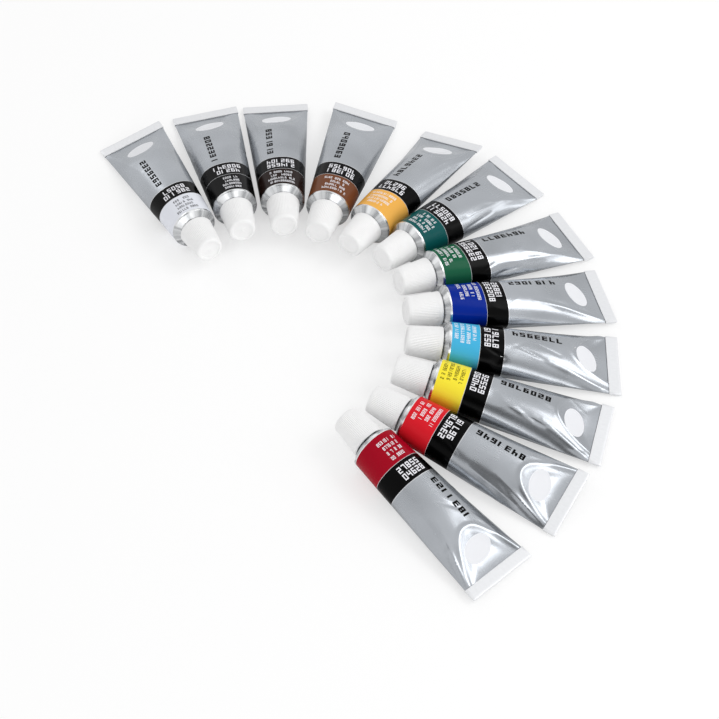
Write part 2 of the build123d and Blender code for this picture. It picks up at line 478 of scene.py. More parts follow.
def pillow_powers(half_widths, quarter, folds):
    """How sharply the top's section bends towards its sides, for each half width.

    The direction of the foil turns as the power m of the way from the top to the fold at the side,
    where it has turned by folds. The girth is the same for every m, and a great m is flat.
    """
    way = np.linspace(0, 1, 200)
    powers = np.geomspace(0.5, 90, POWER_STEPS)
    curves = way[None, :] ** powers[:, None]
    found = []
    for width, fold in zip(half_widths.ravel() / quarter, folds.ravel()):
        widths = running_sum(np.cos(fold * curves))[:, -1] * way[1]
        found.append(np.interp(width, widths, powers))
    return np.array(found)[:, None]


def top_curves(share, half_width, quarter, sizes):
    """The top's section in fine steps to its side: way, distance aside, fall and direction."""
    way = np.linspace(0, 1, SECTION_STEPS)
    folds = pi / 2 * (1 - sizes.side_fold * smooth_step(share, 0.1, 0.9))
    turn = folds * way ** pillow_powers(half_width, quarter, folds)
    step = quarter * way[1]
    return way, running_sum(np.cos(turn)) * step, running_sum(np.sin(turn)) * step, turn


def foil_rings(xs, s, inset, sizes, dents):
    """Rings of the foil at these distances from the rim, inset from its outer face.

    The girth stays the same while the section goes from round to flat. The underside lies flat on
    the table with rounded corners, and the top is a pillow that the paint fills out.
    """
    x = xs[:, None]
    share = x / sizes.body_length
    quarter = pi * sizes.rim_radius / 2
    corner = sizes.rim_radius + (sizes.tail_radius - sizes.rim_radius) * share
    flat = quarter - pi * corner / 2
    past = np.clip((x - sizes.pillow_end) / (sizes.body_length - sizes.pillow_end), 0, 1)
    pinch = 1 - sizes.pinch * past**1.5

    way = np.abs(s)
    on_top = way <= quarter
    fine, aside, fall, direction = top_curves(share, flat + corner, quarter, sizes)
    top_y, top_fall, top_turn = [
        np.array([np.interp(way / quarter, fine, row) for row in rows])
        for rows in (aside, fall, direction)
    ]
    below = np.clip(2 * quarter - way, 0, quarter)
    low_turn = np.clip(below - flat, 0, None) / corner
    low_y = np.clip(below, 0, flat) + corner * np.sin(low_turn)
    y = np.where(on_top, top_y, low_y)
    z = np.where(on_top, (fall[:, -1:] - top_fall) * pinch, -corner * np.cos(low_turn))
    turn = np.where(on_top, top_turn, pi - low_turn)

    # The stiff rim and the side that rests on the table stay free of dents, and no hollow goes
    # deeper than three quarters of the pillow
    pushed = dent_depth(dents, x, s) * smooth_step(x, 1 * MM, 5 * MM)
    room = 0.75 * fall[:, -1:] * pinch
    pushed = np.where(pushed > 0, room * np.tanh(pushed / room), pushed)
    resting = smooth_step(way, quarter * 1.05, quarter * 1.5)
    rise = -pushed * (1 - resting) - inset
    y = (y + rise * np.sin(turn)) * np.where(s < 0, -1, 1)
    z = z + rise * np.cos(turn)
    rings = np.stack([x + 0 * y, y, z], -1)
    return rings, np.stack(np.broadcast_arrays(x, s), -1)


def neck_of(sizes):
    """Slope of the shoulder, and where along the axis the neck starts, ends and opens inside."""
    slope = tan(sizes.shoulder_slope)
    base = -sizes.rim_band - (sizes.rim_radius - sizes.neck_radius) * slope
    throat = -(sizes.rim_radius - sizes.foil - sizes.nozzle_radius) * slope
    return Neck(slope, base, base - sizes.neck_length, throat)


def nozzle_profile(sizes):
    """The hole that the paint comes out of, and the lip round it."""
    neck = neck_of(sizes)
    hole, outer, edge = sizes.nozzle_radius, sizes.neck_radius, 0.25 * MM
    return [
        (neck.throat, hole),
        (neck.lip + edge, hole),
        (neck.lip + 0.3 * edge, hole + 0.3 * edge),
        (neck.lip, hole + edge),
        (neck.lip, outer - 2 * edge),
        (neck.lip + 0.6 * edge, outer - 0.6 * edge),
        (neck.lip + 2 * edge, outer),
    ]


def neck_rings(sizes, s):
    """The neck, its thread running out towards the lip and towards the shoulder."""
    neck = neck_of(sizes)
    start = neck.lip + 0.6 * MM
    x = np.linspace(start, neck.base - 0.35 * MM, THREAD_ROWS)
    angle = s / sizes.rim_radius
    ridge = thread_wave(x[:, None], angle, sizes.thread_pitch, 0.0, 0.5 * MM, 0.2 * MM)
    fade = smooth_step(x, start, start + 0.8 * MM)
    fade = fade * (1 - smooth_step(x, neck.base - 1.1 * MM, neck.base - 0.4 * MM))
    profile = [(along, sizes.neck_radius) for along in x]
    return turned(profile, s, sizes.rim_radius, sizes.thread_height * ridge * fade[:, None])


def shoulder_profile(sizes):
    """The cone from the neck to the rim, and the rim's rounded bead."""
    neck = neck_of(sizes)
    rim, edge, bead = sizes.rim_radius, -sizes.rim_band, 0.3 * MM
    profile = [(neck.base - 0.1 * MM, sizes.neck_radius + 0.08 * MM)]
    for radius in np.linspace(sizes.neck_radius + 0.35 * MM, rim - 0.1 * MM, CONE_ROWS):
        profile.append((edge - (rim - radius) * neck.slope, radius))
    profile += [(edge - 0.05 * bead, rim - 0.24 * bead), (edge + 0.15 * bead, rim - 0.07 * bead)]
    profile += [(edge + 0.5 * bead, rim), (-0.08 * MM, rim)]
    return profile


def tube_parts(name, sizes, seed):
    """Lofted parts of one tube: the shell from inside to outside, and the crimp's two folds."""
    rim = sizes.rim_radius
    s = columns_to_sides(FOIL_COLUMNS, rim)
    dents = dents_of(name, sizes, seed)
    inside_x = np.linspace(sizes.body_length - 1.5 * MM, 0, INSIDE_ROWS)
    outside_x = np.linspace(0, sizes.body_length - 0.05 * MM, FOIL_ROWS)
    bare = [
        foil_rings(inside_x, s, sizes.foil, sizes, dents),
        turned(nozzle_profile(sizes), s, rim),
        neck_rings(sizes, s),
        turned(shoulder_profile(sizes), s, rim),
    ]
    printed = foil_rings(outside_x, s, 0, sizes, dents)
    rings, spread = [np.concatenate(rows) for rows in zip(*bare, printed)]
    bare_rows = sum(len(part[0]) for part in bare)
    slots = [BARE] * (bare_rows * FOIL_COLUMNS) + [PRINTED] * ((FOIL_ROWS - 1) * FOIL_COLUMNS)
    shell = (loft(rings, spread), slots + [BARE, PRINTED])
    return [shell] + [(fold, CRIMPED) for fold in crimp_folds(sizes)]


def crimp_folds(sizes):
    """The tail's end: two layers with a rounded fold, and the free layer tucked under them."""
    half = pi * sizes.rim_radius / 2
    top = sizes.crimp_thickness / 2
    layer = sizes.crimp_thickness / 3
    low = top - 2 * layer
    start = sizes.body_length - 0.15 * MM
    end = sizes.body_length + sizes.crimp_depth
    nose = end - layer
    upper = [(start, top - 0.1 * MM), (start + 0.12 * MM, top), (nose - 1.6 * MM, top)]
    upper += [(nose - 0.7 * MM, top - 0.015 * MM)]
    for t in np.linspace(1.4, -pi / 2, 9):
        upper.append((nose + layer * cos(t), top - layer + layer * sin(t)))
    upper += [(start, low)]
    free, under, edge = end - 0.6 * MM, low - 0.02 * MM, 0.1 * MM
    lower = [(start, under), (free - edge, under), (free, under - 0.8 * edge)]
    lower += [(free, 0.8 * edge - top), (free - edge, -top), (start, -top)]
    return [strip(upper, half, 0.0), strip(lower, half, 0.12 * MM)]


def strip(profile, half, short):
    """A profile of x and z drawn across the tube, slightly wavy and with pinched ends."""
    x, z = np.array(profile).T
    middle = (z.max() + z.min()) / 2
    rings, spread = [], []
    for share in np.linspace(-1, 1, 49):
        pinch = smooth_step(abs(share), 0.985, 1.0) * 0.25
        wave = 0.03 * MM * sin(7 * share + 2) * (x > x.mean())
        y = 0 * x + share * (half - short)
        rings.append(np.stack([x + wave, y, z + (middle - z) * pinch], -1))
        spread.append(np.stack([x, y], -1))
    return loft(np.array(rings), np.array(spread))


# --- materials


class Weave:
    """Adds shader nodes to a material or a world and links them."""

    def __init__(self, holder):
        holder.use_nodes = True
        self.tree = holder.node_tree
        self.tree.nodes.clear()
        # Sums and comparisons of numbers or links, each the output of a math node
        self.plus = partial(self.math, "ADD")
        self.minus = partial(self.math, "SUBTRACT")
        self.times = partial(self.math, "MULTIPLY")
        self.over = partial(self.math, "DIVIDE")
        self.less = partial(self.math, "LESS_THAN")
        self.more = partial(self.math, "GREATER_THAN")
        self.most = partial(self.math, "MAXIMUM")
        self.floor = partial(self.math, "FLOOR")

    def add(self, kind, inputs=None, **settings):
        """A node with these settings; inputs gives sockets a number, a colour or a link."""
        node = self.tree.nodes.new(kind)
        for key, value in settings.items():
            setattr(node, key, value)
        for key, value in (inputs or {}).items():
            self.feed(node.inputs[key], value)
        return node

    def feed(self, socket, value):
        """Sets a socket, or links it if the value is another node's output."""
        if isinstance(value, bpy.types.NodeSocket):
            self.tree.links.new(value, socket)
        else:
            socket.default_value = value

    def math(self, operation, *values):
        """Output of a math node on these numbers or links."""
        node = self.add("ShaderNodeMath", operation=operation)
        for socket, value in zip(node.inputs, values):
            self.feed(socket, value)
        return node.outputs[0]

    def between(self, value, low, high):
        """1 where the value lies between low and high, else 0."""
        return self.times(self.more(value, low), self.less(value, high))

    def chance(self, value):
        """A random number from 0 to 1 for each value."""
        return self.add("ShaderNodeTexWhiteNoise", {"W": value}, noise_dimensions="1D").outputs["Value"]

    def mix(self, share, first, second, kind="RGBA"):
        """Colour between the first, where share is 0, and the second."""
        inputs = {"Factor": share, "A": first, "B": second}
        return self.add("ShaderNodeMix", inputs, data_type=kind).outputs["Result"]

    def blend(self, share, first, second):
        """Number between the first, where share is 0, and the second."""
        return self.mix(share, first, second, "FLOAT")

    def noise(self, scale, detail=2.0, stretch=None):
        """Noise from 0 to 1, scale to the metre. A stretch is how fine it is down and round a tube."""
        if stretch is None:
            place = self.add("ShaderNodeTexCoord").outputs["Object"]
        else:
            flat = self.add("ShaderNodeUVMap", uv_map="print").outputs["UV"]
            place = self.add("ShaderNodeMapping", {"Vector": flat, "Scale": (*stretch, 1)}).outputs[0]
        node = self.add("ShaderNodeTexNoise", {"Vector": place, "Scale": scale, "Detail": detail})
        return node.outputs["Fac"]

    def bump(self, height, distance, strength):
        """Normal of a bump of this height, in metres."""
        inputs = {"Height": height, "Distance": distance, "Strength": strength}
        return self.add("ShaderNodeBump", inputs).outputs["Normal"]


class Finish(Weave):
    """The nodes of a material, which starts with its surface and output."""

    def __init__(self, name):
        self.material = bpy.data.materials.get(name) or bpy.data.materials.new(name)
        super().__init__(self.material)
        self.surface = self.add("ShaderNodeBsdfPrincipled")
        self.output = self.add("ShaderNodeOutputMaterial", {"Surface": self.surface.outputs[0]})

    def set(self, **sockets):
        """Sets or links the surface's sockets, named with _ for a space."""
        for key, value in sockets.items():
            self.feed(self.surface.inputs[key.replace("_", " ")], value)


def rgba(colour_value, times=1.0):
    """The colour with full alpha, made lighter or darker by a factor."""
    return (*[times * part for part in colour_value], 1.0)


def grey(red, blue=None):
    """A plain grey, or a slightly cool one if its blue is given too."""
    blue = red if blue is None else blue
    return (red, (red + blue) / 2, blue, 1.0)


def bare_aluminium():
    """Bright aluminium of the shoulder and neck: the fine rings and lines of its drawing in its bump
    and roughness, and broad dark and bright sectors of painted reflection in its colour.
    """
    w = Finish("bare_aluminium")
    streaks_and_reflections = w.noise(240, 2.0, (0.05, 1))
    # Painted reflection: broad dark and bright sectors painted into the metal's colour, the same noise
    # also varying its roughness
    reflection_sectors = w.math("MULTIPLY_ADD", streaks_and_reflections, 3.0, -1.0)
    height = w.blend(0.4, w.noise(5200, 2.0, (1, 0.02)), w.noise(9000, 2.0))
    w.set(
        Base_Color=w.mix(reflection_sectors, grey(0.26, 0.28), grey(0.86, 0.88)),
        Metallic=1.0,
        Roughness=w.blend(streaks_and_reflections, 0.2, 0.36),
        Normal=w.bump(height, 0.004 * MM, 0.25),
    )
    return w.material


def crimp_lacquer():
    """Pale lacquer over the folded crimp, faintly wrinkled across by the folding jaws."""
    w = Finish("crimp_lacquer")
    wrinkles = w.noise(900, 3.0, (0.5, 3.0))
    fine = w.noise(5000, 2.0)
    w.set(
        Base_Color=w.mix(wrinkles, (0.70, 0.71, 0.73, 1), (0.82, 0.83, 0.85, 1)),
        Metallic=w.blend(wrinkles, 0.15, 0.4),
        Roughness=w.blend(fine, 0.3, 0.45),
        Normal=w.bump(w.blend(0.3, wrinkles, fine), 0.08 * MM, 0.5),
    )
    return w.material


# Which digits have each stroke of a digit made of seven straight strokes
STROKES = {
    "top": "02356789",
    "upper left": "045689",
    "upper right": "01234789",
    "middle": "2345689",
    "lower left": "0268",
    "lower right": "013456789",
    "foot": "0235689",
}
DIGIT_SPACING = 1.35  # from one digit to the next, in widths of a digit
UPRIGHT = 1.6  # width of an upright stroke, in thicknesses of a level one
ROW_STEP, PLACE_STEP = 7.31, 5.3  # part the random picks of one row and place from the next

# A group of printed rows: pitch of the digits, their height, pitch of the rows, how many rows, the
# least and the most digits in a row, the share left out, and the weight of a stroke in the height
Rows = namedtuple("Rows", "cell height pitch rows least most space weight")
SMALL_PRINT = Rows(0.92 * MM, 1.45 * MM, 2.45 * MM, 4, 8, 13, 0.12, 0.18)
HEADING = Rows(2.1 * MM, 2.6 * MM, 3.25 * MM, 2, 5, 6, 0.0, 0.18)
LONG_WORD = Rows(3.05 * MM, 2.8 * MM, 9 * MM, 1, 7, 7, 0.0, 0.24)


def digit_rows(w, along, down, print_rows, seed):
    """Rows of plain digits picked at random, 1 on their strokes and 0 off them.

    along runs from the middle of a row in reading direction and down from the top of the first row.
    """
    cell, height, pitch, rows, least, most, space, weight = print_rows

    place = w.over(down, pitch)
    row = w.floor(place)
    drop = w.times(w.minus(place, row), pitch / height)
    inside = w.times(w.less(drop, 1.0), w.between(row, -0.5, rows - 0.5))
    label = w.plus(w.times(row, ROW_STEP), seed)
    count = w.plus(w.floor(w.times(w.chance(label), most - least + 0.99)), least)
    spot = w.plus(w.over(along, cell), w.times(count, 0.5))
    index = w.floor(spot)
    inside = w.times(inside, w.times(w.more(index, -0.5), w.less(index, w.minus(count, 0.5))))
    pick = w.plus(index, w.times(label, PLACE_STEP))
    inside = w.times(inside, w.more(w.chance(pick), space))
    digit = w.floor(w.times(w.chance(w.plus(pick, 0.5)), 10.0))

    side = w.times(w.minus(spot, index), DIGIT_SPACING)
    left, level = w.less(side, UPRIGHT * weight), w.less(side, 1.0)
    right = w.between(side, 1.0 - UPRIGHT * weight, 1.0)
    upper, lower = w.less(drop, 0.5), w.more(drop, 0.5)
    shapes = {
        "top": w.times(level, w.less(drop, weight)),
        "upper left": w.times(left, upper),
        "upper right": w.times(right, upper),
        "middle": w.times(level, w.between(drop, 0.5 - weight / 2, 0.5 + weight / 2)),
        "lower left": w.times(left, lower),
        "lower right": w.times(right, lower),
        "foot": w.times(level, w.more(drop, 1.0 - weight)),
    }
    power = w.math("POWER", 2.0, digit)
    inked = 0.0
    for stroke, digits in STROKES.items():
        holders = float(sum(2 ** int(d) for d in digits))
        has = w.math("MODULO", w.floor(w.over(holders, power)), 2.0)
        inked = w.most(inked, w.times(has, shapes[stroke]))
    return w.times(inked, inside)


def oval_mark(w, x, s, inks, sizes):
    """1 inside the bare oval near the crimp, which lies slightly askew, and 0 outside."""
    askew = radians(12)
    from_x = w.minus(x, sizes.body_length - inks.oval_from_crimp)
    along = w.plus(w.times(from_x, cos(askew)), w.times(s, sin(askew)))
    fall = w.times(from_x, sin(askew))
    aside = w.minus(w.times(s, cos(askew)), fall)
    squares = []
    for way, half in ((along, inks.oval_length), (aside, inks.oval_width)):
        squares.append(w.math("POWER", w.over(w.math("ABSOLUTE", way), half), 2.0))
    return w.less(w.plus(*squares), 1.0)


def printed_foil(name, band_colour, inks, sizes, seed):
    """Printed lacquer on the foil: colour band, black band and satin silver, with generic marks,
    painted reflection patches in the silver and a painted shadow line at the crimp.
    """
    w = Finish(f"{name}_printed_foil")
    flat = w.add("ShaderNodeUVMap", uv_map="print").outputs["UV"]
    across = w.add("ShaderNodeSeparateXYZ", {"Vector": flat})
    s = across.outputs["Y"]
    ragged = w.times(w.minus(w.noise(700, 2.0), 0.5), 0.12 * MM)
    x = w.plus(across.outputs["X"], ragged)
    light, dark = rgba(inks.light), rgba(inks.dark)
    black_start, silver_start, turn = (value * MM for value in PRINTS[name])

    coloured = w.between(x, inks.colour_start, black_start)
    black = w.between(x, black_start, silver_start)
    silver = w.more(x, silver_start)
    outer_line = w.between(x, silver_start, silver_start + inks.line_width)
    inner_line = w.between(x, black_start - 0.6 * inks.line_width, black_start)
    small_top, heading_top = black_start - 10.6 * MM, black_start + 1.5 * MM
    word_middle, word_top = silver_start + 13.3 * MM, turn + 3.1 * MM
    middle = w.minus(s, turn + 0.6 * MM)
    small = digit_rows(w, middle, w.minus(x, small_top), SMALL_PRINT, seed)
    heads = digit_rows(w, middle, w.minus(x, heading_top), HEADING, seed + 3.0)
    word = digit_rows(w, w.minus(word_middle, x), w.minus(s, word_top), LONG_WORD, seed + 9.0)
    word = w.times(word, silver)
    oval = oval_mark(w, x, s, inks, sizes)

    # Painted reflection: broad lighter and darker patches in the silver ink stand for reflections
    # changing over the foil
    reflection_mottle = w.math("MULTIPLY_ADD", w.noise(48, 1.5), 2.0, -0.5)
    satin = w.mix(reflection_mottle, rgba(inks.silver, 0.84), rgba(inks.silver, 1.1))
    base = w.mix(coloured, grey(0.72, 0.74), rgba(band_colour))
    base = w.mix(w.times(small, coloured), base, dark if name in DARK_INK else light)
    base = w.mix(black, base, dark)
    base = w.mix(w.times(heads, black), base, light)
    base = w.mix(silver, base, satin)
    base = w.mix(word, base, dark)
    base = w.mix(w.plus(outer_line, inner_line), base, (0.62, 0.63, 0.65, 1))
    base = w.mix(oval, base, rgba(inks.bare))
    # Painted shade: a thin dark line where the foil goes into the crimp, standing for the fold's shadow
    base = w.mix(w.more(x, sizes.body_length - 0.3 * MM), base, (0.12, 0.12, 0.13, 1))

    bare_rim = w.less(x, inks.colour_start)
    metal = w.plus(w.times(w.minus(silver, w.most(word, oval)), 0.85), bare_rim)
    scratch = w.noise(2600, 2.0, (0.06, 1))
    w.set(
        Base_Color=base,
        Metallic=metal,
        Roughness=w.plus(w.blend(w.noise(90, 4.0), 0.16, 0.3), w.times(scratch, 0.05)),
        Specular_IOR_Level=0.07,
        Normal=w.bump(w.blend(0.4, w.noise(3200, 2.0), scratch), 0.002 * MM, 0.12),
    )
    return w.material


def cap_plastic():
    """White moulded plastic of the caps, faintly uneven and softly shining."""
    w = Finish("cap_plastic")
    cloud = w.noise(260, 3.0)
    grain = w.noise(4200, 2.0)
    w.set(
        Base_Color=w.mix(cloud, grey(0.87), grey(0.92)),
        Roughness=w.blend(cloud, 0.34, 0.46),
        Specular_IOR_Level=0.45,
        Normal=w.bump(grain, 0.03 * MM, 0.25),
    )
    return w.material


def liner_foam():
    """Dense off-white foam with a fine open grain."""
    w = Finish("liner_foam")
    place = w.add("ShaderNodeTexCoord").outputs["Object"]
    pores = w.add("ShaderNodeTexVoronoi", {"Vector": place, "Scale": 3500.0}).outputs["Distance"]
    cloud = w.noise(500, 3.0)
    w.set(
        Base_Color=w.mix(cloud, (0.66, 0.66, 0.64, 1), (0.78, 0.78, 0.76, 1)),
        Roughness=w.blend(cloud, 0.7, 0.9),
        Normal=w.bump(pores, 0.05 * MM, 0.6),
    )
    return w.material


def wet_paint(name, paint_colour):
    """Thick wet gouache, a little lighter and darker in swirls, with a damp shine."""
    w = Finish(f"{name}_wet_paint")
    swirl = w.noise(700, 4.0)
    ripple = w.noise(2200, 3.0)
    pale = rgba([min(1.0, 1.12 * c + 0.01) for c in paint_colour])
    w.set(
        Base_Color=w.mix(swirl, rgba(paint_colour, 0.8), pale),
        Roughness=w.blend(ripple, 0.28, 0.5),
        Normal=w.bump(ripple, 0.12 * MM, 0.5),
    )
    return w.material


# --- paint, caps and liners

PAINT_COLUMNS = 64
PAINT_ROWS = 40
LINER_COLUMNS = 96
CAP_COLUMNS_PER_RIB = 4
SIDE_ROWS = 22
BORE_ROWS = 60
GAP_TO_FOIL = 0.12 * MM
PAINT_BELOW_LIP = 0.45 * MM
PAINT_SHORT_OF_CRIMP = 8.2 * MM


def paint_part(name, sizes, seed):
    """Lofted paint: a domed plug in the nozzle, the cone under the shoulder and the filled foil."""
    s = columns_round(PAINT_COLUMNS, sizes.rim_radius)
    neck = neck_of(sizes)
    nozzle = sizes.nozzle_radius - GAP_TO_FOIL
    top, dome = neck.lip + PAINT_BELOW_LIP, 0.35 * MM
    profile = []
    for share in np.linspace(0.04, 1, 12):
        profile.append((top + dome * (1 - (1 - share**2) ** 0.5), nozzle * share))
    plug = turned(profile + [(neck.throat + 0.1 * MM, nozzle)], s, sizes.rim_radius)
    xs = np.linspace(0.15 * MM, sizes.body_length - PAINT_SHORT_OF_CRIMP, PAINT_ROWS)
    dents = dents_of(name, sizes, seed)
    body = foil_rings(xs, s, sizes.foil + GAP_TO_FOIL, sizes, dents)
    return loft(*[np.concatenate(rows) for rows in zip(plug, body)])


def cap_end_profile(cap, end):
    """The sunk disc with the small mark of its moulding in the middle, and the step round it."""
    sunk, wall = end + cap.recess_depth, cap.recess_radius
    disc = [(-0.22, 0.12), (-0.2, 0.4), (-0.05, 0.62), (0.0, 0.85), (0.02, 2.2)]
    corner = [(0.0, -0.5), (-0.05, -0.2), (-0.2, 0.0)]
    edge = [(0.12, 0.06), (0.02, 0.16), (0.0, 0.3)]
    profile = [(sunk + x * MM, radius * MM) for x, radius in disc]
    profile += [(sunk + x * MM, wall + out * MM) for x, out in corner]
    return profile + [(end + x * MM, wall + out * MM) for x, out in edge]


def cap_part(cap, tube):
    """Lofted cap: ribbed side, rounded closed end with its sunk disc, and a threaded bore."""
    s = columns_round(cap.ribs * CAP_COLUMNS_PER_RIB, tube.rim_radius)
    angle = s / tube.rim_radius
    neck = neck_of(tube)
    base = -tube.rim_band - (tube.rim_radius - cap.base_radius) * neck.slope - cap.gap
    end = base - cap.length
    mouth = tube.rim_radius + (base + tube.rim_band) / neck.slope + cap.mouth_gap
    bore_start = base - (mouth - cap.bore_radius) * neck.slope
    bore_end = neck.lip - cap.liner_thickness
    big, small = cap.end_rounding, cap.mouth_rounding
    taper = (cap.base_radius - cap.end_radius) / cap.length

    profile = cap_end_profile(cap, end)
    first_side = len(profile)
    for t in np.linspace(radians(4), radians(86), 8):
        profile.append((end + big * (1 - cos(t)), cap.end_radius - big * (1 - sin(t))))
    for x in np.linspace(end + big * 1.15, base - 0.5 * MM, SIDE_ROWS):
        profile.append((x, cap.end_radius + taper * (x - end)))
    past_side = len(profile)
    for t in np.linspace(radians(15), radians(90), 4):
        profile.append((base - small * (1 - sin(t)), cap.base_radius - small * (1 - cos(t))))
    profile += [(base, mouth + 0.12 * MM), (base - 0.08 * MM, mouth), (bore_start, cap.bore_radius)]
    first_bore = len(profile)
    for x in np.linspace(bore_start - 0.25 * MM, bore_end + 0.05 * MM, BORE_ROWS):
        profile.append((x, cap.bore_radius))
    past_bore = len(profile)
    profile += [(bore_end, cap.bore_radius - 0.1 * MM), (bore_end, 2.5 * MM), (bore_end, 0.3 * MM)]

    x = np.array(profile)[:, :1]
    row = np.arange(len(x))[:, None]
    ribs = (row >= first_side) * (row < past_side) * smooth_step(x, end + 0.5 * MM, end + 1.6 * MM)
    ribs = ribs * (1 - smooth_step(x, base - 1.7 * MM, base - 0.8 * MM))
    thread = (row >= first_bore) * (row < past_bore)
    thread = thread * smooth_step(x, neck.lip + 0.2 * MM, neck.lip + 1.0 * MM)
    thread = thread * (1 - smooth_step(x, bore_start - 1.2 * MM, bore_start - 0.3 * MM))
    wave = 0.5 - 0.5 * np.cos(angle * cap.ribs)
    ridge = thread_wave(x, angle, tube.thread_pitch, 0.5, 0.42 * MM, 0.18 * MM)
    ripple = -cap.rib_depth * ribs * wave**1.5 - cap.thread_depth * thread * ridge
    return loft(*turned(profile, s, tube.rim_radius, ripple))


def liner_part(cap, tube):
    """Lofted disc with rounded edges and the ring that the nozzle's lip has pressed in it."""
    lip = neck_of(tube).lip
    back = lip - cap.liner_thickness
    radius, soft, ring_depth = cap.liner_radius, 0.15 * MM, 0.12 * MM
    profile = [(back, 0.2 * MM), (back, radius - soft), (back + 0.3 * soft, radius - 0.3 * soft)]
    profile += [(back + soft, radius), (lip - soft, radius), (lip - 0.3 * soft, radius - 0.3 * soft)]
    profile += [(lip, radius - soft), (lip, 4.25 * MM), (lip - 0.1 * MM, 4.0 * MM)]
    profile += [(lip - ring_depth, 2.8 * MM), (lip - 0.02 * MM, 2.4 * MM)]
    profile += [(lip, 2.0 * MM), (lip, 0.2 * MM)]
    return loft(*turned(profile, columns_round(LINER_COLUMNS, tube.rim_radius), tube.rim_radius))


def settle(piece, body, node):
    """The piece rides on its body and stands for its node, which it hides."""
    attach(piece, body)
    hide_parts(node)


# --- operators


class GOUACHE_OT_tubes(bpy.types.Operator):
    """Build the twelve printed foil tubes with their shoulders, threaded necks and crimps"""

    bl_idname = "gouache.tubes"
    bl_label = "Tubes"

    def execute(self, context):
        scene = context.scene
        sizes = scene.gouache_tube
        bare = bare_aluminium()
        crimp = crimp_lacquer()
        for seed, name in enumerate(NAMES):
            band_colour = getattr(scene.gouache_colours, name)
            printed = printed_foil(name, band_colour, scene.gouache_print, sizes, float(seed))
            parts = tube_parts(name, sizes, seed)
            place = tube_place(name, sizes)
            piece = make_piece(f"{name}_foil_tube", parts, place, [bare, printed, crimp])
            settle(piece, f"{name}_tube", f"{name}_tube")
        return {"FINISHED"}


class GOUACHE_OT_paint(bpy.types.Operator):
    """Fill the tubes with paint, up to a slight dome in the nozzle"""

    bl_idname = "gouache.paint"
    bl_label = "Paint"

    def execute(self, context):
        scene = context.scene
        sizes = scene.gouache_tube
        for seed, name in enumerate(NAMES):
            wet = wet_paint(name, getattr(scene.gouache_colours, name))
            part = (paint_part(name, sizes, seed), 0)
            piece = make_piece(f"{name}_paint_fill", [part], tube_place(name, sizes), [wet])
            settle(piece, f"{name}_tube", f"{name}_paint")
        return {"FINISHED"}


class GOUACHE_OT_caps(bpy.types.Operator):
    """Build the twelve ribbed screw caps"""

    bl_idname = "gouache.caps"
    bl_label = "Caps"

    def execute(self, context):
        scene = context.scene
        plastic = cap_plastic()
        part = (cap_part(scene.gouache_cap, scene.gouache_tube), 0)
        for name in NAMES:
            place = tube_place(name, scene.gouache_tube)
            piece = make_piece(f"{name}_screw_cap", [part], place, [plastic])
            settle(piece, f"{name}_cap", f"{name}_cap")
        return {"FINISHED"}


class GOUACHE_OT_liners(bpy.types.Operator):
    """Build the sealing discs inside the caps"""

    bl_idname = "gouache.liners"
    bl_label = "Liners"

    def execute(self, context):
        scene = context.scene
        foam = liner_foam()
        part = (liner_part(scene.gouache_cap, scene.gouache_tube), 0)
        for name in NAMES:
            place = tube_place(name, scene.gouache_tube)
            piece = make_piece(f"{name}_sealing_disc", [part], place, [foam])
            settle(piece, f"{name}_liner", f"{name}_cap_liner")
        return {"FINISHED"}


# Soft lamps: width and height, place, and the point that they face, in metres
Lamp = namedtuple("Lamp", "size place target")
LAMPS = {
    "key": Lamp((0.85, 0.5), (0.88, 0.1, 0.98), (0, 0, 0)),
    "low": Lamp((0.5, 0.3), (1.2, 0, 0.53), (0.03, 0, 0)),
    "front": Lamp((0.9, 0.35), (0.2, -1.1, 0.36), (0.03, 0, 0)),
    "back": Lamp((0.5, 0.35), (-0.9, 0.75, 0.8), (0, 0, 0)),
}
SQUARE = ((-1, -1), (1, -1), (1, 1), (-1, 1))
WHITE = (1, 1, 1, 1)


def area_light(name, lamp, power):
    """A soft light that faces its target."""
    light = bpy.data.lights.new(name, "AREA")
    light.shape = "RECTANGLE"
    light.size, light.size_y = lamp.size
    light.energy = power
    holder = new_object(name, light)
    holder.location = lamp.place
    facing = Vector(lamp.target) - Vector(lamp.place)
    holder.rotation_euler = facing.to_track_quat("-Z", "Y").to_euler()


def sheet(name, corners, material):
    """A flat piece of the stage with four corners."""
    mesh = bpy.data.meshes.new(name)
    mesh.from_pydata(corners, [], [(0, 1, 2, 3)])
    mesh.materials.append(material)
    piece = new_object(name, mesh)
    return piece


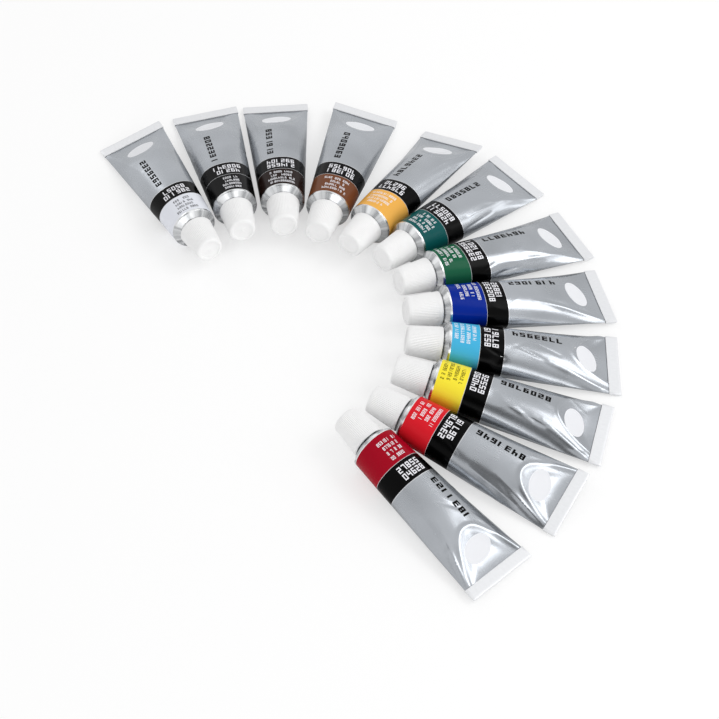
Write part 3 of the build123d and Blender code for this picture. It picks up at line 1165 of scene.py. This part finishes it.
class GOUACHE_OT_stage(bpy.types.Operator):
    """Lay the pale floor, set the soft lights and place the camera"""

    bl_idname = "gouache.stage"
    bl_label = "Stage"

    def execute(self, context):
        stage = context.scene.gouache_stage
        self.floor(stage)
        self.world(context, stage)
        for name, lamp in LAMPS.items():
            area_light(f"{name}_light", lamp, getattr(stage, f"{name}_power"))
        self.dark_card(stage)
        self.camera(context, stage)
        context.scene.view_settings.view_transform = "Standard"
        return {"FINISHED"}

    def floor(self, stage):
        """A large matt floor, on which the camera sees the tubes' shadows lightened."""
        half = 4.0
        w = Finish("floor")
        w.set(Base_Color=rgba(stage.floor), Roughness=0.9, Specular_IOR_Level=0.1)
        seen = w.add("ShaderNodeLightPath").outputs["Is Camera Ray"]
        share = w.times(seen, stage.floor_glow)
        glow = w.add("ShaderNodeEmission", {"Color": rgba(stage.floor), "Strength": 1.0})
        shaders = {0: share, 1: w.surface.outputs[0], 2: glow.outputs[0]}
        mixed = w.add("ShaderNodeMixShader", shaders)
        w.feed(w.output.inputs["Surface"], mixed.outputs[0])
        sheet("floor", [(half * a, half * b, 0) for a, b in SQUARE], w.material)

    def dark_card(self, stage):
        """A dark card round the camera that only reflections show, so that bright foil has form."""
        half_width, half_height, distance_out = 0.32, 0.24, 0.95
        away = Vector((0, -cos(stage.pitch), sin(stage.pitch)))
        flat = away.to_track_quat("Z", "Y").to_matrix()
        middle = away * distance_out
        corners = [flat @ Vector((a * half_width, b * half_height, 0)) + middle for a, b in SQUARE]
        w = Finish("dark_card")
        w.set(Base_Color=grey(0.05), Roughness=0.9)
        piece = sheet("dark_card", corners, w.material)
        for ray in ("camera", "diffuse", "transmission", "volume_scatter", "shadow"):
            setattr(piece, f"visible_{ray}", False)

    def world(self, context, stage):
        """Even light from all round, which shows plain white to the camera and in reflections."""
        world = bpy.data.worlds.new("studio")
        w = Weave(world)
        path = w.add("ShaderNodeLightPath").outputs
        shown = w.most(path["Is Camera Ray"], path["Is Glossy Ray"])
        shown = w.most(shown, path["Is Transmission Ray"])
        ambient = w.add("ShaderNodeBackground", {"Color": WHITE, "Strength": stage.ambient})
        plain = w.add("ShaderNodeBackground", {"Color": WHITE, "Strength": 1.0})
        shaders = {0: shown, 1: ambient.outputs[0], 2: plain.outputs[0]}
        mixed = w.add("ShaderNodeMixShader", shaders)
        w.add("ShaderNodeOutputWorld", {"Surface": mixed.outputs[0]})
        context.scene.world = world

    def camera(self, context, stage):
        """The photograph's point of view, from in front and above."""
        forward = Vector((0, cos(stage.pitch), -sin(stage.pitch)))
        level_right = Vector((1, 0, 0))
        level_up = Vector((0, sin(stage.pitch), cos(stage.pitch)))
        right = level_right * cos(stage.roll) + level_up * sin(stage.roll)
        up = level_up * cos(stage.roll) - level_right * sin(stage.roll)
        view = bpy.data.cameras.new("camera")
        view.lens = stage.lens
        view.sensor_width = 36
        view.clip_start = 0.01
        holder = new_object("camera", view)
        place = Matrix((right, up, -forward)).transposed().to_4x4()
        place.translation = Vector(stage.look_at) - forward * stage.camera_distance
        holder.matrix_world = place
        context.scene.camera = holder


class GOUACHE_PT_panel(bpy.types.Panel):
    """Lists the steps that build the set"""

    bl_idname = "GOUACHE_PT_panel"
    bl_label = "Gouache tubes"
    bl_space_type = "VIEW_3D"
    bl_region_type = "UI"
    bl_category = "Gouache tubes"

    def draw(self, context):
        for step in STEPS:
            self.layout.operator(step.bl_idname)
        for group in GROUPS:
            self.layout.label(text=group.__doc__)
            values = getattr(context.scene, GROUPS[group])
            for key in group.__annotations__:
                self.layout.prop(values, key)


GROUPS = {
    GOUACHE_PG_tube: "gouache_tube",
    GOUACHE_PG_cap: "gouache_cap",
    GOUACHE_PG_print: "gouache_print",
    GOUACHE_PG_colours: "gouache_colours",
    GOUACHE_PG_stage: "gouache_stage",
}
STEPS = [GOUACHE_OT_tubes, GOUACHE_OT_paint, GOUACHE_OT_caps, GOUACHE_OT_liners, GOUACHE_OT_stage]


def register():
    """Adds the classes and the settings to Blender."""
    for kind in [*GROUPS, *STEPS, GOUACHE_PT_panel]:
        bpy.utils.register_class(kind)
    for group, name in GROUPS.items():
        setattr(bpy.types.Scene, name, bpy.props.PointerProperty(type=group))


def unregister():
    """Takes them out again."""
    for name in GROUPS.values():
        delattr(bpy.types.Scene, name)
    for kind in reversed([*GROUPS, *STEPS, GOUACHE_PT_panel]):
        bpy.utils.unregister_class(kind)


def main():
    """Builds the whole set."""
    register()
    bpy.ops.gouache.tubes()
    bpy.ops.gouache.paint()
    bpy.ops.gouache.caps()
    bpy.ops.gouache.liners()
    bpy.ops.gouache.stage()


if __name__ == "__main__":
    main()
